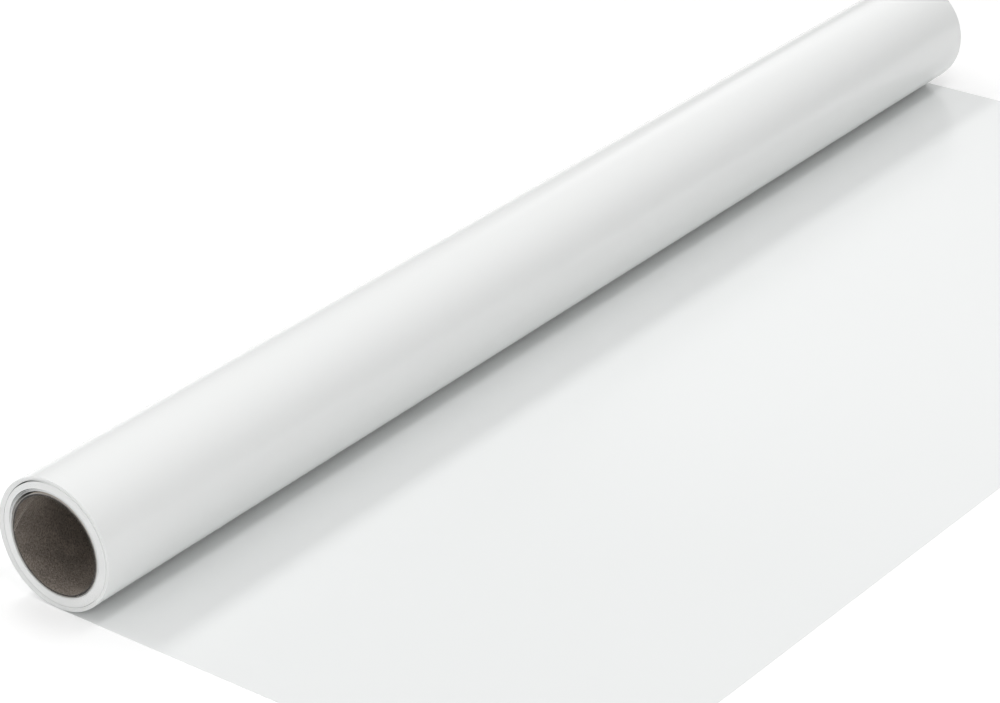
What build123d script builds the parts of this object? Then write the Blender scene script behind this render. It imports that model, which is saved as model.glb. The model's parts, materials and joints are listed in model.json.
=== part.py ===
"""Roll of sign vinyl: a self-adhesive vinyl web on its release liner, wound on a
paper core, with the free end of the web run out flat beside the roll.

Millimetres. The origin is the middle of the core's bore. +Y runs along the roll,
+Z is up and +X is the way the free web lies.

The web is wound face in. Seen from the -Y end it comes off the bottom of the roll
towards +X, and wound the other way it climbs the -X side, goes over the top and
down the +X side, each turn inside the one before.
"""

import os
from math import asin, ceil, pi, tan

from build123d import *

os.makedirs("parts", exist_ok=True)

# ---------------------------------------------------------------- the web
web_width = 1220.0
film_thickness = 0.08
adhesive_thickness = 0.02
liner_thickness = 0.15
free_length_near = 428.0
free_length_far = 483.0

# ---------------------------------------------------------------- the winding
inner_turns = 4
inner_air = 0.02
inner_opening = 0.50
inner_opening_angle = 165.0
tight_turns = 21
loose_turns = 9
loose_air = 0.02
outer_turn_air = 0.30
crescent_gap = 1.30
crescent_angle = 120.0

# ---------------------------------------------------------------- the core
core_bore_radius = 38.1
core_recess = 1.0
ply_thickness = 0.40
open_seam_plies = ["core_inner_ply", "core_second_ply", "core_third_ply"]
ply_strip_width = 150.0
ply_seam_gap = 1.5
ply_seam_angle = 180.0
core_play = 1.60

# ---------------------------------------------------------------- clearances
running_gap = 0.30

# ---------------------------------------------------------------- worked out
web_thickness = film_thickness + adhesive_thickness + liner_thickness
core_length = web_width - 2 * core_recess
outer_ply_bore_radius = core_bore_radius + len(open_seam_plies) * ply_thickness
core_outer_radius = outer_ply_bore_radius + ply_thickness

# The core lies low in the bore of the wound web, which is centred above it.
pack_bore_radius = core_outer_radius + core_play / 2
pack_centre_z = core_play / 2 - running_gap

# The innermost turns have sprung apart on one side, so the tight turns start on
# a circle that is a little larger and a little off centre.
inner_near_pitch = web_thickness + inner_air + inner_opening
inner_far_pitch = web_thickness + inner_air
tight_bore_near = pack_bore_radius + inner_turns * inner_near_pitch
tight_bore_far = pack_bore_radius + inner_turns * inner_far_pitch
tight_bore_radius = (tight_bore_near + tight_bore_far) / 2
tight_bore_offset = (tight_bore_near - tight_bore_far) / 2
pack_radius = tight_bore_radius + tight_turns * web_thickness

# The tight pack lies off centre in the loose turns, and leaves a crescent on one side.
loose_pitch = web_thickness + loose_air
loose_bore_radius = pack_radius + (crescent_gap + running_gap) / 2
crescent_offset = (crescent_gap - running_gap) / 2
outer_turn_bore_radius = loose_bore_radius + loose_turns * loose_pitch
outer_turn_pitch = web_thickness + outer_turn_air


def half_turns(bore_radius, near_pitch, far_pitch, count):
    """Offset from the centre and radius of each half turn of a two-centre spiral.

    The spiral starts at the bore's radius on its near side, and first crosses its
    far side there too. Both sides grow by their own pitch with every full turn.
    """
    arcs = []
    for half in range(count):
        turn, is_second_half = divmod(half, 2)
        near_crossing = bore_radius + (turn + is_second_half) * near_pitch
        far_crossing = bore_radius + turn * far_pitch
        arcs.append(((near_crossing - far_crossing) / 2, (near_crossing + far_crossing) / 2))
    return arcs


def towards(centre, angle, distance):
    """Point at an angle and a distance from a centre, in the end view."""
    return centre + Vector(distance, 0).rotate(Axis.Z, angle)


def wind(label, centre, arcs, near_angle, inside, thickness):
    """Strip wound anticlockwise along the half turns, as wide as the web.

    inside is how far the strip lies outside the web's inner surface.
    """
    with BuildPart() as strip:
        with BuildSketch(Plane.XZ):
            with BuildLine():
                inner_edges = []
                outer_edges = []
                for half, (offset, radius) in enumerate(arcs):
                    start_angle = near_angle + 180 * half
                    arc_centre = towards(centre, near_angle, offset)
                    inner_radius = radius + inside
                    inner_edges.append(CenterArc(arc_centre, inner_radius, start_angle, 180))
                    outer_edges.append(CenterArc(arc_centre, inner_radius + thickness, start_angle, 180))
                Line(inner_edges[0] @ 0, outer_edges[0] @ 0)
                Line(inner_edges[-1] @ 1, outer_edges[-1] @ 1)
            make_face()
        extrude(amount=web_width / 2, both=True)
    strip.part.label = label
    return strip.part


def lay(label, bottom_z, thickness):
    """Layer of the free web, flat beside the roll, with a slightly skew cut end."""
    near_y = -web_width / 2
    far_y = web_width / 2
    with BuildPart() as layer:
        with BuildSketch(Plane.XY.offset(bottom_z)):
            with BuildLine():
                Polyline(
                    (loose_centre.X, near_y),
                    (free_length_near, near_y),
                    (free_length_far, far_y),
                    (loose_centre.X, far_y),
                    close=True,
                )
            make_face()
        extrude(amount=thickness)
    layer.part.label = label
    return layer.part


def wind_ply(label, inner_radius, seam_angle):
    """Ply of the core: a paper strip wound in a right-hand helix with an open seam.

    seam_angle is where the seam meets the -Y end, in the end view. The helix of
    the seam starts at the top, so it starts as far before that end as it takes.
    """
    middle_radius = inner_radius + ply_thickness / 2
    first_y = -core_length / 2 - ply_lead * ((90 - seam_angle) % 360) / 360
    with BuildPart() as ply:
        with BuildSketch(Plane.XZ):
            Circle(inner_radius + ply_thickness)
            Circle(inner_radius, mode=Mode.SUBTRACT)
        extrude(amount=core_length / 2, both=True)
        for turn in range(ceil(core_length / ply_lead) + 1):
            turn_start = (0, first_y + turn * ply_lead, 0)
            with BuildLine() as seam:
                Helix(ply_lead, ply_lead, middle_radius, center=turn_start, direction=(0, 1, 0))
            with BuildSketch(Plane(seam.line @ 0, x_dir=(0, 0, 1), z_dir=seam.line % 0)):
                Rectangle(3 * ply_thickness, ply_seam_gap)
            sweep(path=seam.line, is_frenet=True, mode=Mode.SUBTRACT)
    ply.part.label = label
    return ply.part


# ---------------------------------------------------------------- places
# Downwards, as an angle in the end view from -Y.
DOWN = -90.0

pack_centre = Vector(0, pack_centre_z)
loose_centre = towards(pack_centre, crescent_angle, crescent_offset)
rest_z = loose_centre.Y - (outer_turn_bore_radius + outer_turn_pitch + web_thickness)

# ---------------------------------------------------------------- free web
laid_liner = lay("laid_liner", rest_z, liner_thickness)
laid_adhesive = lay("laid_adhesive", rest_z + liner_thickness, adhesive_thickness)
laid_film = lay("laid_film", rest_z + liner_thickness + adhesive_thickness, film_thickness)

# ---------------------------------------------------------------- outermost turn
outer_arcs = half_turns(outer_turn_bore_radius, outer_turn_pitch, outer_turn_pitch, 2)
outer_turn_film = wind("outer_turn_film", loose_centre, outer_arcs, DOWN, 0, film_thickness)
outer_turn_adhesive = wind(
    "outer_turn_adhesive", loose_centre, outer_arcs, DOWN, film_thickness, adhesive_thickness
)
outer_turn_liner = wind(
    "outer_turn_liner",
    loose_centre,
    outer_arcs,
    DOWN,
    film_thickness + adhesive_thickness,
    liner_thickness,
)

# ---------------------------------------------------------------- loose turns
loose_arcs = half_turns(loose_bore_radius, loose_pitch, loose_pitch, 2 * loose_turns)
loose_wraps = wind("loose_wraps", loose_centre, loose_arcs, DOWN, 0, web_thickness)

# ---------------------------------------------------------------- innermost turns
inner_arcs = half_turns(pack_bore_radius, inner_near_pitch, inner_far_pitch, 2 * inner_turns - 1)
inner_wraps = wind(
    "inner_wraps", pack_centre, inner_arcs, inner_opening_angle, 0, web_thickness
)

# ---------------------------------------------------------------- tight pack
# Turns that lie on each other with no air between them, up to the step where the
# web leaves the pack for the loose turns.
step_radius = pack_radius - web_thickness
step_arcs = half_turns(step_radius, web_thickness, web_thickness, 2)
with BuildPart() as tight_pack:
    with BuildSketch(Plane.XZ):
        with BuildLine():
            for half, (offset, radius) in enumerate(step_arcs):
                CenterArc(towards(pack_centre, DOWN, offset), radius, DOWN + 180 * half, 180)
            Line(towards(pack_centre, DOWN, step_radius), towards(pack_centre, DOWN, pack_radius))
        make_face()
        with Locations(towards(pack_centre, inner_opening_angle, tight_bore_offset)):
            Circle(tight_bore_radius, mode=Mode.SUBTRACT)
    extrude(amount=web_width / 2, both=True)
tight_pack.part.label = "tight_pack"

# ---------------------------------------------------------------- core plies
core_circumference = 2 * pi * core_bore_radius
ply_lead = core_circumference * tan(asin(ply_strip_width / core_circumference))
core_plies = [
    wind_ply(
        name,
        core_bore_radius + index * ply_thickness,
        ply_seam_angle - index * 360 / len(open_seam_plies),
    )
    for index, name in enumerate(open_seam_plies)
]

# The outer ply's edges are butted tight, for a smooth surface to wind on.
with BuildPart() as core_outer_ply:
    with BuildSketch(Plane.XZ):
        Circle(core_outer_radius)
        Circle(outer_ply_bore_radius, mode=Mode.SUBTRACT)
    extrude(amount=core_length / 2, both=True)
core_outer_ply.part.label = "core_outer_ply"

for piece in [
    laid_liner,
    laid_adhesive,
    laid_film,
    outer_turn_film,
    outer_turn_adhesive,
    outer_turn_liner,
    loose_wraps,
    inner_wraps,
    tight_pack.part,
    *core_plies,
    core_outer_ply.part,
]:
    export_step(piece, f"parts/{piece.label}.step")

print("roll's outer radius", round(outer_arcs[1][1] + web_thickness, 3))
print("height of the rest face", round(rest_z, 3))
print("line where the web leaves the surface", round(loose_centre.X, 3))
print("height of the pack's centre", round(pack_centre_z, 3))
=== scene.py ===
# %% [markdown]
# # A roll of sign vinyl
# The real thing is one long web, wound on a paper core. The web is a laminate of three
# layers: a white vinyl film, a clear adhesive and a coated paper liner. Its free end lies
# flat beside the roll.
# Nearly every piece here is made as it is in the factory. A flat strip of the right width
# is laid out first, and then it is wound. Only the core's outer ply starts as a tube.

# %% Load the frame
import json
from math import ceil, cos, pi, radians, sin, tau

import bpy
import numpy as np
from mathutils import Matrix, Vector


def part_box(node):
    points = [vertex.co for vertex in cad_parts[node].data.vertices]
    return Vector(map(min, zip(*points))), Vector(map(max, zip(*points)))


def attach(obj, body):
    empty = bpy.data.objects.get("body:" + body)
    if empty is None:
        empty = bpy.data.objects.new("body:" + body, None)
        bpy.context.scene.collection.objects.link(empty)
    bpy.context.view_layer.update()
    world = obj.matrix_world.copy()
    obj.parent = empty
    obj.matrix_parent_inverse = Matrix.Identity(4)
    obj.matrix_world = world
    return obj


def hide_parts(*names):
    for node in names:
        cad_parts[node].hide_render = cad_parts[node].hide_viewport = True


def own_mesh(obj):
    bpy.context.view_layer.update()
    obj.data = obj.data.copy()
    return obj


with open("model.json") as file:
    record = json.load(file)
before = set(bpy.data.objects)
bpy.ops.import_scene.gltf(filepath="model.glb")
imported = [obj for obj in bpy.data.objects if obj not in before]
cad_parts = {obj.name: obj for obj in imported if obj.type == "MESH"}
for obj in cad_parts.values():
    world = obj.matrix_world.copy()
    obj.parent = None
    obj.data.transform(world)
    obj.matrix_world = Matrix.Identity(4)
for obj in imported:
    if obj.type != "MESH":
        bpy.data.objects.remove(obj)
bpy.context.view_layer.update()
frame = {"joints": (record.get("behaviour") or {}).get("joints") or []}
bpy.ops.object.select_all(action="DESELECT")

# %% [markdown]
# The web's own sizes are the same as the CAD model's. The places come from the frame: the
# surface that everything lies on, the two ends of the roll, and the line along which the
# web leaves that surface.

# %% Sizes and places
mm = 0.001
film_thickness = 0.08 * mm
adhesive_thickness = 0.02 * mm
liner_thickness = 0.15 * mm
web_thickness = film_thickness + adhesive_thickness + liner_thickness

laid_low, laid_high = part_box("laid_liner")
wound_low, wound_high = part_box("outer_turn_liner")
rest_z = laid_low.z
near_end, far_end = wound_low.y, wound_high.y
web_width = far_end - near_end
joints = {joint["name"]: joint for joint in frame["joints"]}
leaving_x = laid_low.x
free_length_far = laid_high.x
free_length_near = joints["roll_travel"]["deforming_nodes"][0]["fixed_end_x_m"]
pack_centre = Vector(joints["pack_turn"]["pos_m"])
print("web", round(web_width, 4), "m wide, free for", free_length_near, "to", round(free_length_far, 4))

# %% [markdown]
# ## Shader maths
# A Math node is clumsy to wire by hand. Wrapped in a small class, a socket can be added,
# multiplied and compared like a number, and each expression adds its own nodes.

# %% A socket that can be used in an expression
class Value:
    def __init__(self, maker, socket):
        self.maker = maker
        self.socket = socket

    def _math(self, operation, first, second):
        return self.maker.node("ShaderNodeMath", {"operation": operation}, {0: first, 1: second})

    def __add__(self, other):
        return self._math("ADD", self, other)

    def __radd__(self, other):
        return self._math("ADD", other, self)

    def __sub__(self, other):
        return self._math("SUBTRACT", self, other)

    def __rsub__(self, other):
        return self._math("SUBTRACT", other, self)

    def __mul__(self, other):
        return self._math("MULTIPLY", self, other)

    def __rmul__(self, other):
        return self._math("MULTIPLY", other, self)

    def __gt__(self, other):
        return self._math("GREATER_THAN", self, other)

    def __lt__(self, other):
        return self._math("LESS_THAN", self, other)


# %% A material that makes its own nodes
class Finish:
    """A material with one Principled shader, and helpers to add nodes to it."""

    def __init__(self, name):
        self.material = bpy.data.materials.new(name)
        self.material.use_nodes = True
        self.tree = self.material.node_tree
        self.shader = self.tree.nodes["Principled BSDF"]

    def node(self, kind, settings=None, inputs=None, output=0):
        made = self.tree.nodes.new(kind)
        for key, value in (settings or {}).items():
            if key == "stops":
                self._set_stops(made.color_ramp, value)
            else:
                setattr(made, key, value)
        for key, value in (inputs or {}).items():
            self.feed(made.inputs[key], value)
        return Value(self, made.outputs[output])

    def _set_stops(self, ramp, stops):
        while len(ramp.elements) < len(stops):
            ramp.elements.new(0.5)
        for element, (position, colour) in zip(ramp.elements, stops):
            element.position = position
            element.color = (*colour, 1)

    def feed(self, socket, value):
        if isinstance(value, Value):
            self.tree.links.new(value.socket, socket)
        elif socket.type == "RGBA" and len(value) == 3:
            socket.default_value = (*value, 1)
        else:
            socket.default_value = value

    def set(self, **inputs):
        for key, value in inputs.items():
            self.feed(self.shader.inputs[key.replace("_", " ")], value)

    def place(self, scale=(1, 1, 1)):
        where = self.node("ShaderNodeTexCoord", output="Object")
        return self.node("ShaderNodeMapping", inputs={"Vector": where, "Scale": scale})

    def noise(self, where, scale, detail=2.0, roughness=0.5):
        inputs = {"Vector": where, "Scale": scale, "Detail": detail, "Roughness": roughness}
        return self.node("ShaderNodeTexNoise", inputs=inputs)

    def mix(self, factor, first, second):
        colours = {0: factor, 6: first, 7: second}
        return self.node("ShaderNodeMix", {"data_type": "RGBA"}, colours, output=2)

    def bump(self, height, distance, normal=None):
        inputs = {"Height": height, "Distance": distance, "Strength": 1.0}
        if normal is not None:
            inputs["Normal"] = normal
        return self.node("ShaderNodeBump", inputs=inputs)

# %% [markdown]
# ## Finishes
# Calendered vinyl is white all through, with a soft gloss. Its skin has a fine orange peel,
# and a longer, lower swell from the rollers that made it. Colour alone would look like
# paint, so both are put into the normals, a little of them into the roughness too.

# %% White vinyl film
def make_film_finish():
    finish = Finish("white_vinyl_film")
    where = finish.place()
    peel = finish.noise(where, scale=1600.0)
    swell = finish.noise(finish.place((1, 0.35, 1)), scale=9.0, detail=1.0)
    tone = finish.noise(where, scale=3.0)
    rolled = finish.bump(swell, distance=0.60 * mm)
    skin = finish.bump(peel, distance=0.003 * mm, normal=rolled)
    finish.set(
        Base_Color=finish.mix(tone, (0.858, 0.871, 0.868), (0.874, 0.886, 0.883)),
        Roughness=0.19 + 0.06 * peel,
        Normal=skin,
    )
    finish.shader.inputs["Specular IOR Level"].default_value = 0.45
    return finish.material


film_finish = make_film_finish()

# %% [markdown]
# The liner's back is what the roll shows outside. It is clay-coated paper: nearly as
# smooth as the film, a touch warmer, and faintly mottled where the coat lies on fibres.
# Wound tight, it shows soft bands round the roll, where the turns below lie a little high.

# %% Coated liner paper
def make_liner_finish():
    finish = Finish("coated_liner_paper")
    where = finish.place()
    mottle = finish.noise(where, scale=1300.0, detail=3.0, roughness=0.6)
    bands = finish.noise(finish.place((1, 0.30, 1)), scale=8.0, detail=1.5)
    banded = finish.bump(bands, distance=1.00 * mm)
    skin = finish.bump(mottle, distance=0.003 * mm, normal=banded)
    finish.set(
        Base_Color=finish.mix(mottle, (0.895, 0.905, 0.898), (0.913, 0.921, 0.915)),
        Roughness=0.21 + 0.05 * mottle,
        Normal=skin,
    )
    finish.shader.inputs["Specular IOR Level"].default_value = 0.50
    return finish.material


liner_finish = make_liner_finish()

# %% [markdown]
# The adhesive is clear, and it is only seen as a thin grey line between the two whites.

# %% Clear adhesive
def make_adhesive_finish():
    finish = Finish("clear_adhesive")
    tack = finish.noise(finish.place(), scale=1200.0)
    finish.set(
        Base_Color=finish.mix(tack, (0.66, 0.67, 0.64), (0.74, 0.75, 0.72)),
        Roughness=0.35 + 0.2 * tack,
    )
    return finish.material


adhesive_finish = make_adhesive_finish()

# %% [markdown]
# A slit edge is duller than the face. The knife leaves fine lines across it, and the two
# ends of a roll gather a little grey dust between the turns.

# %% Slit edges of the web
def make_edge_finish():
    finish = Finish("slit_web_edge")
    where = finish.place()
    dust = finish.noise(where, scale=70.0, detail=3.0, roughness=0.6)
    knife = finish.noise(where, scale=2500.0)
    finish.set(
        Base_Color=finish.mix(dust, (0.875, 0.885, 0.875), (0.92, 0.925, 0.92)),
        Roughness=0.5 + 0.2 * knife,
        Normal=finish.bump(knife, distance=0.01 * mm),
    )
    return finish.material


edge_finish = make_edge_finish()

# %% [markdown]
# Core board is made of waste paper, so it is a dull brown grey with paler and darker
# fibres, which lie along the strip. The strips' trimmed edges are fuzzy and pale.

# %% Core board
trimmed_edge = 0.35 * mm


def make_board_finish(name, length, width, light, dark, pale):
    """light and dark are the board's own tones, and pale is that of a torn fibre, except where all
    three are set near black: that is painted shade.
    """
    finish = Finish(name)
    uv = finish.node("ShaderNodeTexCoord", output="UV")
    along = finish.node("ShaderNodeMapping", inputs={"Vector": uv, "Scale": (length, width, 1)})
    stretched = finish.node("ShaderNodeMapping", inputs={"Vector": along, "Scale": (0.65, 1.0, 1.0)})
    pulp = finish.noise(along, scale=55.0, detail=4.0, roughness=0.65)
    fibre = finish.noise(stretched, scale=800.0, detail=3.0, roughness=0.6)
    speck = finish.noise(along, scale=1200.0, detail=1.0)
    darkest = tuple(0.62 * value for value in dark)
    body = finish.mix(3.0 * fibre - 1.0, dark, light)
    body = finish.mix(1.6 * pulp - 0.5, body, darkest)
    body = finish.mix(5.0 * speck - 3.05, body, pale)
    across = finish.node("ShaderNodeSeparateXYZ", inputs={"Vector": along}, output="Y")
    trimmed = (across < trimmed_edge) + (across > width - trimmed_edge)
    lumpy = finish.bump(pulp, distance=0.25 * mm)
    finish.set(
        Base_Color=finish.mix(0.8 * trimmed, body, pale),
        Roughness=0.78 + 0.15 * fibre,
        Normal=finish.bump(fibre, distance=0.05 * mm, normal=lumpy),
    )
    finish.shader.inputs["Specular IOR Level"].default_value = 0.25
    return finish.material


# %% [markdown]
# ## The flat strip
# A grid is the right start for a web: it is flat, its faces run along and across, and it
# can be as fine as the turns need. It starts at x = 0 and ends at its real length.

# %% Lay out a flat strip
def flat_strip(name, length, width, along, across):
    bpy.ops.mesh.primitive_grid_add(x_subdivisions=along, y_subdivisions=across, size=1)
    strip = bpy.context.object
    strip.name = name
    strip.data.name = name
    bpy.ops.object.mode_set(mode="EDIT")
    bpy.ops.transform.resize(value=(length, width, 1))
    bpy.ops.transform.translate(value=(length / 2, 0, 0))
    bpy.ops.object.mode_set(mode="OBJECT")
    return strip


# %% Read and move the points of a strip
def points_of(piece):
    flat = np.empty(3 * len(piece.data.vertices))
    piece.data.vertices.foreach_get("co", flat)
    return flat.reshape(-1, 3)


def move_points(piece, points):
    piece.data.vertices.foreach_set("co", points.ravel())
    piece.data.update()


# %% [markdown]
# A strip has no thickness until Solidify gives it one. The rim it adds is the slit edge,
# which takes the second material. Where turns are pressed thin, a vertex group says which
# share of the thickness is left. The finished piece has no modifier left on it.

# %% Give a strip its thickness
crease_angle = radians(30)


def thicken(piece, thickness, offset, face, rim, share=None):
    piece.data.materials.append(face)
    piece.data.materials.append(rim)
    wall = piece.modifiers.new("thickness", "SOLIDIFY")
    wall.thickness = thickness
    wall.offset = offset
    wall.use_even_offset = True
    wall.material_offset_rim = 1
    if share is not None:
        pressed = piece.vertex_groups.new(name="pressed")
        for index, value in enumerate(share):
            pressed.add([index], value, "REPLACE")
        wall.vertex_group = pressed.name
    bpy.ops.object.modifier_apply(modifier=wall.name)
    bpy.ops.object.shade_smooth_by_angle(angle=crease_angle)
    bpy.ops.object.select_all(action="DESELECT")
    print(piece.name, "faces:", len(piece.data.polygons))


# %% [markdown]
# ## The free web
# The stretch that lies beside the roll is nearly flat. Long coils leave a swell of a few
# tenths of a millimetre in it, just enough to bend a reflection.
# When the roll travels over it, the web is taken up from the roll's side, while its cut
# end stays where it is. So it is laid as two spans with a common edge: the run flattens
# away in front of the roll, and the end stays still.

# %% Lay the free web
layers = {
    "film": (liner_thickness + adhesive_thickness, film_thickness, film_finish, "vinyl_film"),
    "adhesive": (liner_thickness, adhesive_thickness, adhesive_finish, "adhesive"),
    "liner": (0.0, liner_thickness, liner_finish, "release_liner"),
}
travel = joints["roll_travel"]["range_m"][1]
taken_up_margin = 5 * mm
end_start_x = leaving_x + travel + taken_up_margin
rows_over_web = 48
rows_along_run = 32
rows_along_end = 8
swell_height = 0.15 * mm
mean_swell = 1.6
small_wave = 0.6


def swell(x, y):
    """Height of the free web's swell, which dies out at its sides and at the roll."""
    from_sides = np.cos(pi * y / web_width)
    from_roll = np.sin(np.clip(pi * (x - leaving_x) / free_length_near, 0, pi))
    waves = np.sin(11 * x + 4 * y) + small_wave * np.sin(5 * y - 17 * x + 1.0)
    return swell_height * (from_sides * from_roll) * (mean_swell + waves)


def lay_span(name, start_x, near_x, far_x, layer, segments):
    bottom, thickness, finish, slot = layers[layer]
    span = flat_strip(name, 1.0, web_width, segments, rows_over_web)
    points = points_of(span)
    across = (points[:, 1] - near_end) / web_width
    end_x = near_x + (far_x - near_x) * across
    points[:, 0] = start_x + (end_x - start_x) * points[:, 0]
    points[:, 2] = rest_z + bottom + swell(points[:, 0], points[:, 1])
    move_points(span, points)
    thicken(span, thickness, 1, finish, edge_finish)
    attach(span, "laid_web")
    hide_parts(f"laid_{layer}")
    return span


run_length = end_start_x - leaving_x
end_length = free_length_far - end_start_x
end_share = (free_length_near + free_length_far - 2 * end_start_x) / (2 * end_length)
for layer in ("liner", "adhesive", "film"):
    run_sides = (leaving_x, end_start_x, end_start_x)
    end_sides = (end_start_x, free_length_near, free_length_far)
    run = lay_span(f"laid_{layer}_run", *run_sides, layer, rows_along_run)
    end = lay_span(f"laid_{layer}_end", *end_sides, layer, rows_along_end)
    web_width * end_length * end_share
    taken_up_margin / run_length
    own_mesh(run)
print("free web: run", round(run_length, 4), "m, end", round(end_length, 4), "m")

# %% [markdown]
# ## Winding
# A wound strip follows a spiral that is drawn with two centres, half a turn from each. A
# point's distance along the strip tells how far round it lies. The near and the far side
# may grow at their own pitch, which opens the turns on one side.
# A roll is never wound perfectly true, so each turn has slipped sideways by a tenth of a
# millimetre or so. That is what draws the fine rings on the ends of a roll.

# %% Where a wound point lies, in the end view
DOWN = radians(-90)
rounding = 1e-6


def towards(centre, angle, distance):
    return centre + distance * Vector((cos(angle), 0, sin(angle)))


def on_spiral(turned, centre, near_angle, bore, near_pitch, far_pitch, press=None):
    """Places on a spiral of two centres. press says how far inwards a turn is pushed."""
    turn, second = np.divmod(np.floor(turned / pi + rounding), 2)
    near = bore + (turn + second) * near_pitch
    far = bore + turn * far_pitch
    offset, radius = (near - far) / 2, (near + far) / 2
    angle = near_angle + turned
    if press is not None:
        radius = radius - press(angle, turned / turned.max())
    x = centre.x + offset * cos(near_angle) + radius * np.cos(angle)
    z = centre.z + offset * sin(near_angle) + radius * np.sin(angle)
    return x, z


def slip(turned, seed):
    """Sideways slip of a turn, from -1 to 1, which changes slowly round the roll."""
    wave_sizes = {0.37: 1.0, 1.13: 0.7, 2.41: 0.35}
    waves = [size * np.sin(rate * turned + seed * rate * 7) for rate, size in wave_sizes.items()]
    return sum(waves) / sum(wave_sizes.values())


# %% Wind a strip
steps_per_turn = 96
rows_across = 8


def wind(name, half_turns, spiral, recess, slack, seed, press=None):
    """A strip with no thickness, wound anticlockwise. recess and slack are at its ends."""
    steps = half_turns * steps_per_turn // 2
    strip = flat_strip(name, 1.0, web_width, steps, rows_across)
    points = points_of(strip)
    wound = points[:, 0].copy()
    turned = wound * half_turns * pi
    side = points[:, 1] / (web_width / 2)
    inward = recess(wound) + slack * (1 + slip(turned, seed) * np.sign(side)) / 2
    points[:, 0], points[:, 2] = on_spiral(turned, *spiral, press=press)
    points[:, 1] = side * (web_width / 2 - inward)
    move_points(strip, points)
    return strip, turned


def dress(piece, body, node):
    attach(piece, body)
    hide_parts(node)


# %% [markdown]
# The outermost turn is the free web going on round the roll, so it is built of the same
# three layers. From the bottom of the roll it climbs the side away from the free web.

# %% The outermost turn
crescent_gap = 1.30 * mm
crescent_angle = radians(120)
running_gap = 0.30 * mm
loose_turns = 9
air_between_turns = 0.02 * mm
air_under_outer_turn = 0.30 * mm
loose_pitch = web_thickness + air_between_turns
outer_turn_pitch = web_thickness + air_under_outer_turn
mean_gap = (crescent_gap + running_gap) / 2
crescent_offset = (crescent_gap - running_gap) / 2
loose_centre = towards(pack_centre, crescent_angle, crescent_offset)
outer_turn_bore = loose_centre.z - rest_z - web_thickness - outer_turn_pitch
loose_bore = outer_turn_bore - loose_turns * loose_pitch
pack_radius = loose_bore - mean_gap


def flush(wound):
    return 0 * wound


for layer in ("film", "adhesive", "liner"):
    bottom, thickness, finish, slot = layers[layer]
    bore = outer_turn_bore + web_thickness - bottom - thickness
    spiral = (loose_centre, DOWN, bore, outer_turn_pitch, outer_turn_pitch)
    turn, _ = wind(f"outer_turn_{layer}_wound", 2, spiral, flush, slack=0.0, seed=1)
    thicken(turn, thickness, -1, finish, edge_finish)
    dress(turn, "outer_wraps", f"outer_turn_{layer}")

# %% [markdown]
# The loose turns lie close to the tight ones, apart from one place at the upper left,
# where they bulge away and leave a dark crescent. The innermost of them stands a little
# proud of the rest, and the outer ones stand out again bit by bit, so they catch the
# light. Their air is drawn as part of their thickness, so that no light comes through
# between them.

# %% The loose turns
def bulge(angle, middle, half_width):
    """1 in the middle of a bulge, falling to 0 at its two sides."""
    away = np.abs((angle - middle + pi) % tau - pi)
    return np.cos(np.clip(away / half_width, 0, 1) * pi / 2) ** 2


least_gap = 0.05 * mm
bulge_angle = radians(110)
bulge_half_width = radians(38)


def press_loose(angle, wound):
    crescent = mean_gap + crescent_offset * np.cos(angle - crescent_angle)
    bulging = bulge(angle, bulge_angle, bulge_half_width)
    wanted = least_gap + (crescent_gap - least_gap) * bulging
    return np.maximum(crescent - wanted, 0) * (1 - wound)


proud_turns = 0.55
sinking_turns = 0.30
deepest_loose = 0.75 * mm
outward_rise = 0.60 * mm


def proud_first(wound):
    sinking = np.clip((wound * loose_turns - proud_turns) / sinking_turns, 0, 1)
    return (deepest_loose - outward_rise * wound) * sinking


loose_filling = 0.97
spiral = (loose_centre, DOWN, loose_bore, loose_pitch, loose_pitch)
loose, turned = wind(
    "loose_turns",
    2 * loose_turns,
    spiral,
    proud_first,
    slack=0.08 * mm,
    seed=2,
    press=press_loose,
)
pitch_here = loose_pitch + press_loose(DOWN + turned, 0) / loose_turns
widest = pitch_here.max()
thicken(loose, loose_filling * widest, -1, liner_finish, edge_finish, pitch_here / widest)
dress(loose, "outer_wraps", "loose_wraps")

# %% [markdown]
# The tight turns lie on each other, so only their edges show. They are wound as one long
# strip all the same, because the light between the edges is what makes them read as turns.
# The last turn is drawn thinner towards its end, so that the pack is round and can turn.
# Inside them the first few turns have sprung apart, but only on one side: all round the
# rest of the bore they lie close, and the tight turns start right outside them.

# %% Where the innermost turns spring apart
core_outer_radius = 39.7 * mm
core_play = 1.60 * mm
inner_turns = 4
tight_turns = 21
opening_angle = radians(165)
close_pitch = web_thickness + air_between_turns
opening = 0.50 * mm
sprung_angle = radians(142)
sprung_half_width = radians(62)
pack_bore = core_outer_radius + core_play / 2


def sprung(angle):
    """Air that each innermost turn gains at an angle."""
    return opening * bulge(angle, sprung_angle, sprung_half_width)


def too_wide(angle):
    """By how much a spiral of two centres opens more than the sprung turns do."""
    return opening * (1 + np.cos(angle - opening_angle)) / 2 - sprung(angle)


def press_inner(angle, wound):
    return wound * (inner_turns - 0.5) * too_wide(angle)


proud_inner_turns = 0.7
deepest_inner = 0.60 * mm


def proud_innermost(wound):
    return deepest_inner * np.clip(wound * inner_turns - proud_inner_turns, 0, 1)


spiral = (pack_centre, opening_angle, pack_bore, close_pitch + opening, close_pitch)
inner, _ = wind(
    "innermost_turns",
    2 * inner_turns - 1,
    spiral,
    proud_innermost,
    slack=0.1 * mm,
    seed=4,
    press=press_inner,
)
thicken(inner, web_thickness, -1, film_finish, edge_finish)
dress(inner, "pack", "inner_wraps")

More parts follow.
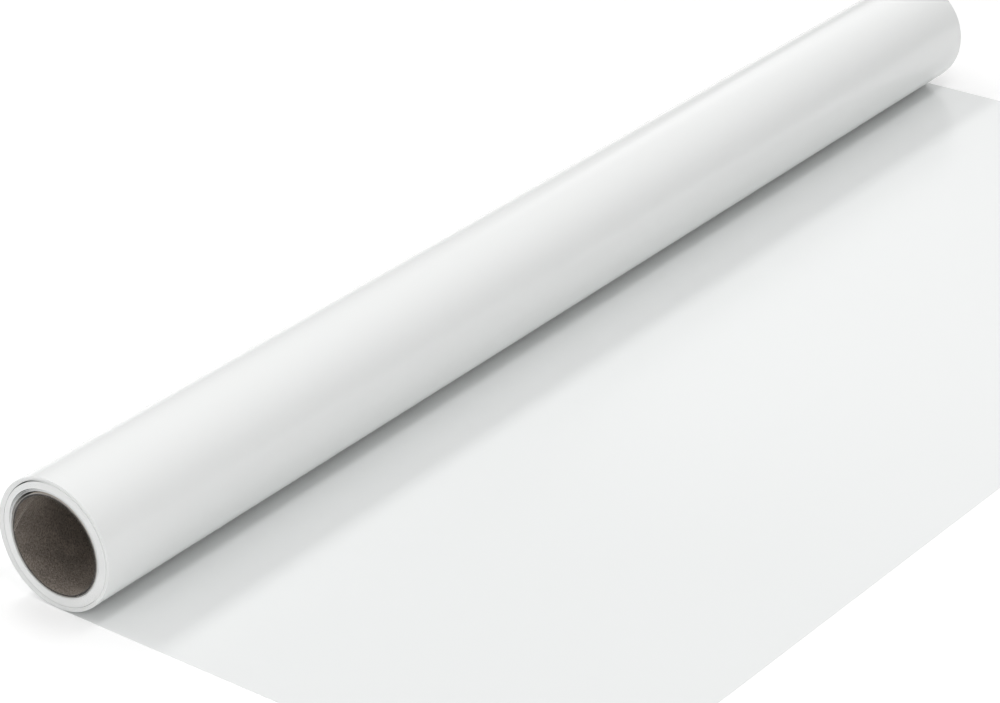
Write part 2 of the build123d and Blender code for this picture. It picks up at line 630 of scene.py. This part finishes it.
# %% The tight turns
tight_near = pack_bore + inner_turns * (close_pitch + opening)
tight_far = pack_bore + inner_turns * close_pitch
tight_bore = (tight_near + tight_far) / 2
tight_centre = towards(pack_centre, opening_angle, (tight_near - tight_far) / 2)
near_pitch = (pack_radius - tight_near) / tight_turns
far_pitch = (pack_radius - tight_far) / tight_turns
print("pack radius", round(pack_radius / mm, 2), "mm; tight pitch", round(far_pitch / mm, 3))


def press_tight(angle, wound):
    return inner_turns * too_wide(angle) * (1 - wound)


deepest_tight = 0.70 * mm
dish = 0.15 * mm


def dished(wound):
    return deepest_tight - dish * (1 - wound)


tight_filling = 0.98
thinnest_end = 0.03
spiral = (tight_centre, opening_angle, tight_bore, near_pitch, far_pitch)
tight, turned = wind(
    "tight_turns",
    2 * tight_turns,
    spiral,
    dished,
    slack=0.04 * mm,
    seed=3,
    press=press_tight,
)
pitch_here = far_pitch - inner_turns * sprung(opening_angle + turned) / tight_turns
thinning = np.clip(tight_turns - turned / tau, thinnest_end, 1)
share_left = pitch_here / far_pitch * thinning
thicken(tight, tight_filling * far_pitch, -1, liner_finish, edge_finish, share_left)
dress(tight, "pack", "tight_pack")

# %% [markdown]
# ## The core
# A core is wound too, but askew: paper strips run round a mandrel at an angle, each a
# little off the one below, so that every ply's open seam is covered by the next ply. The
# tube is then sawn to length, which is done here by cutting both ends off with bisect.

# %% Wind a ply of the core
core_recess = 0.3 * mm
core_length = web_width - 2 * core_recess
tear_depth = 0.3 * mm
core_bore = 38.1 * mm
ply_thickness = 0.40 * mm
ply_strip_width = 150 * mm
ply_seam_gap = 1.5 * mm
seam_angle = radians(180)
circumference = tau * core_bore
slope = ply_strip_width / circumference
level = (1 - slope**2) ** 0.5
ply_lead = circumference * slope / level
strip_length = (core_length + 2 * ply_strip_width) / slope
strip_width = ply_strip_width - ply_seam_gap
print("core seam: one turn in", round(ply_lead / mm, 1), "mm, strip", round(strip_length, 3), "m")


def saw(y, keep_above):
    """Cut the tube in hand square at y, and keep one side of it."""
    bpy.ops.object.mode_set(mode="EDIT")
    bpy.ops.mesh.select_all(action="SELECT")
    bpy.ops.mesh.bisect(
        plane_co=(0, y, 0),
        plane_no=(0, 1, 0),
        clear_inner=keep_above,
        clear_outer=not keep_above,
    )
    bpy.ops.object.mode_set(mode="OBJECT")


def ragged(points, seed):
    """Points of a sawn tube, whose ends are torn a little, unevenly round the tube."""
    round_it = np.arctan2(points[:, 2], points[:, 0])
    rates = (3, 7, 13, 29, 47)
    tear = sum(np.sin(rate * round_it + seed * rate) for rate in rates) / len(rates)
    at_end = np.abs(np.abs(points[:, 1]) - core_length / 2) < rounding
    pulled = tear_depth * (0.5 + 0.5 * tear)
    points[:, 1] -= np.where(at_end, np.sign(points[:, 1]) * pulled, 0)
    return points


steps_round_core = 72
rows_across_ply = 10


def wind_ply(name, node, radius, seam_from, seed):
    segments = ceil(strip_length * level / circumference * steps_round_core)
    ply = flat_strip(name, strip_length, strip_width, segments, rows_across_ply)
    points = points_of(ply)
    run, across = points[:, 0] - strip_length / 2, points[:, 1]
    round_mandrel = run * level - across * slope
    y = run * slope + across * level
    near_y = -core_length / 2
    seam_shift = (near_y - ply_strip_width / 2 / level) / ply_lead * tau
    angle = seam_from + seam_shift - round_mandrel / core_bore
    points[:, 0] = radius * np.cos(angle)
    points[:, 1] = y
    points[:, 2] = radius * np.sin(angle)
    move_points(ply, points)
    saw(near_y, keep_above=True)
    saw(-near_y, keep_above=False)
    move_points(ply, ragged(points_of(ply), seed))
    # The ply's sawn ends take the near-black board, which is painted shade on the core's end.
    thicken(ply, ply_thickness, 1, bore_board, sawn_board)
    dress(ply, "core", node)


# %% Board, and the three plies with an open seam
board = (strip_length, strip_width)
bore_board = make_board_finish(
    "bore_board", *board, (0.52, 0.45, 0.39), (0.19, 0.165, 0.145), (0.80, 0.73, 0.65)
)
# The sawn ends of the three inner plies are painted near black, far darker than the board itself:
# painted shade on the core's end, between the bore and the turns. The outer ply's end keeps the board's
# own grey.
sawn_board = make_board_finish(
    "sawn_board", *board, (0.12, 0.115, 0.11), (0.06, 0.058, 0.055), (0.20, 0.195, 0.19)
)
smooth_board = make_board_finish(
    "sawn_smooth_board", *board, (0.36, 0.355, 0.345), (0.22, 0.215, 0.21), (0.50, 0.495, 0.485)
)
ply_nodes = ["core_inner_ply", "core_second_ply", "core_third_ply"]
for index, node in enumerate(ply_nodes):
    wind_ply(
        f"{node}_wound",
        node,
        core_bore + index * ply_thickness,
        seam_angle - index * tau / len(ply_nodes),
        seed=index,
    )

# %% [markdown]
# The outer ply's edges are butted tight, so that the core is smooth to wind on. No seam of
# it shows, so it starts as a plain open tube instead of a strip. It is turned onto the
# roll's axis and cut finer, so that its ends can be torn like the others.

# %% The outer ply
bpy.ops.mesh.primitive_cylinder_add(
    vertices=2 * steps_round_core,
    radius=core_bore + len(ply_nodes) * ply_thickness,
    depth=core_length,
    end_fill_type="NOTHING",
)
outer_ply = bpy.context.object
outer_ply.name = "core_outer_ply_wound"
bpy.ops.object.mode_set(mode="EDIT")
bpy.ops.transform.rotate(value=radians(90), orient_axis="X", center_override=(0, 0, 0))
bpy.ops.mesh.subdivide(number_cuts=7)
bpy.ops.object.mode_set(mode="OBJECT")
move_points(outer_ply, ragged(points_of(outer_ply), seed=5))
thicken(outer_ply, ply_thickness, 1, bore_board, smooth_board)
dress(outer_ply, "core", "core_outer_ply")

# %% [markdown]
# ## The studio
# White on white needs light from above that fades towards the horizon: it leaves the side
# of the roll in a soft shade. Two long lamps hang over the roll, one each side of it, and
# each draws its own edge of shadow on the free web. Four weak, wide screens stand round
# the roll and lift the shade. The floor is paler than the web, so that the web's edge shows.

# %% Floor
floor_size = 24
floor_clearance = 0.02 * mm
bpy.ops.mesh.primitive_plane_add(size=floor_size, location=(0, 0, 0))
floor = bpy.context.object
floor.name = "floor"
bpy.ops.object.mode_set(mode="EDIT")
bpy.ops.transform.translate(value=(0, 0, rest_z - floor_clearance))
bpy.ops.object.mode_set(mode="OBJECT")
floor_finish = Finish("pale_floor")
grain = floor_finish.noise(floor_finish.place(), scale=4.0)
floor_finish.set(
    Base_Color=floor_finish.mix(grain, (0.92, 0.92, 0.92), (0.94, 0.94, 0.94)),
    Roughness=0.9,
    Emission_Color=(1, 1, 1),
    Emission_Strength=0.16,
)
floor.data.materials.append(floor_finish.material)

# %% Lamps and screens
def add_light(name, place, width, length, power):
    """A lit rectangle that faces the roll."""
    bpy.ops.object.light_add(type="AREA", location=place)
    light = bpy.context.object
    light.name = name
    light.data.shape = "RECTANGLE"
    light.data.size = width
    light.data.size_y = length
    light.data.energy = power
    light.rotation_euler = (-Vector(place)).to_track_quat("-Z", "Y").to_euler()
    return light


lamp_distance = 3.0


def hang_lamp(name, from_upright, power):
    """A long lamp over the roll and along it, at an angle from upright."""
    along_x = lamp_distance * sin(from_upright)
    height = lamp_distance * cos(from_upright)
    lamp = add_light(name, (along_x, -0.2, height), width=0.5, length=2.4, power=power)
    lamp.rotation_euler = (0, from_upright, 0)


hang_lamp("lamp_over_web", radians(20), power=20)
hang_lamp("lamp_behind_roll", radians(-32), power=22)
add_light("screen_beyond_web", (2.4, -0.6, 1.5), width=2.0, length=2.0, power=6.5)
add_light("screen_behind_far_end", (-1.0, 4.0, 1.6), width=3.0, length=1.5, power=12)
add_light("screen_behind_roll", (-3.0, 0.3, 0.8), width=1.5, length=4.0, power=12)
add_light("screen_before_near_end", (-0.4, -4.0, 1.5), width=3.6, length=2.4, power=20)

# %% [markdown]
# The sky is a plain gradient, bright overhead and dim just above the horizon. Below the
# horizon it is pale, to carry the floor on past its edge.

# %% Light from the whole sky
world = bpy.data.worlds.new("studio")
bpy.context.scene.world = world
world.use_nodes = True


class Sky(Finish):
    """The same helpers, for the nodes of the world."""

    def __init__(self, studio):
        self.tree = studio.node_tree
        self.shader = self.tree.nodes["Background"]


sky = Sky(world)
direction = sky.node("ShaderNodeTexCoord", output="Generated")
height = sky.node("ShaderNodeSeparateXYZ", inputs={"Vector": direction}, output="Z")
stops = [(0.495, (0.9, 0.9, 0.9)), (0.505, (0.08, 0.08, 0.08)), (1.0, (0.76, 0.76, 0.76))]
fading = sky.node("ShaderNodeValToRGB", {"stops": stops}, {"Fac": 0.5 + 0.5 * height})
sky.set(Color=fading, Strength=1.0)

# %% [markdown]
# The camera stands above the free web, before the roll's near end. A long lens keeps the
# far end from shrinking too much, which would make the roll look like a cone.

# %% Camera
camera_turns = [radians(turn) for turn in (62.778, -0.166, 35.94)]
bpy.ops.object.camera_add(location=(1.3045, -1.8887, 1.0787), rotation=camera_turns)
camera = bpy.context.object
camera.data.sensor_width = 36
camera.data.lens = 108.98
camera.data.clip_start = 0.05
bpy.context.scene.camera = camera
bpy.context.scene.view_settings.view_transform = "Standard"
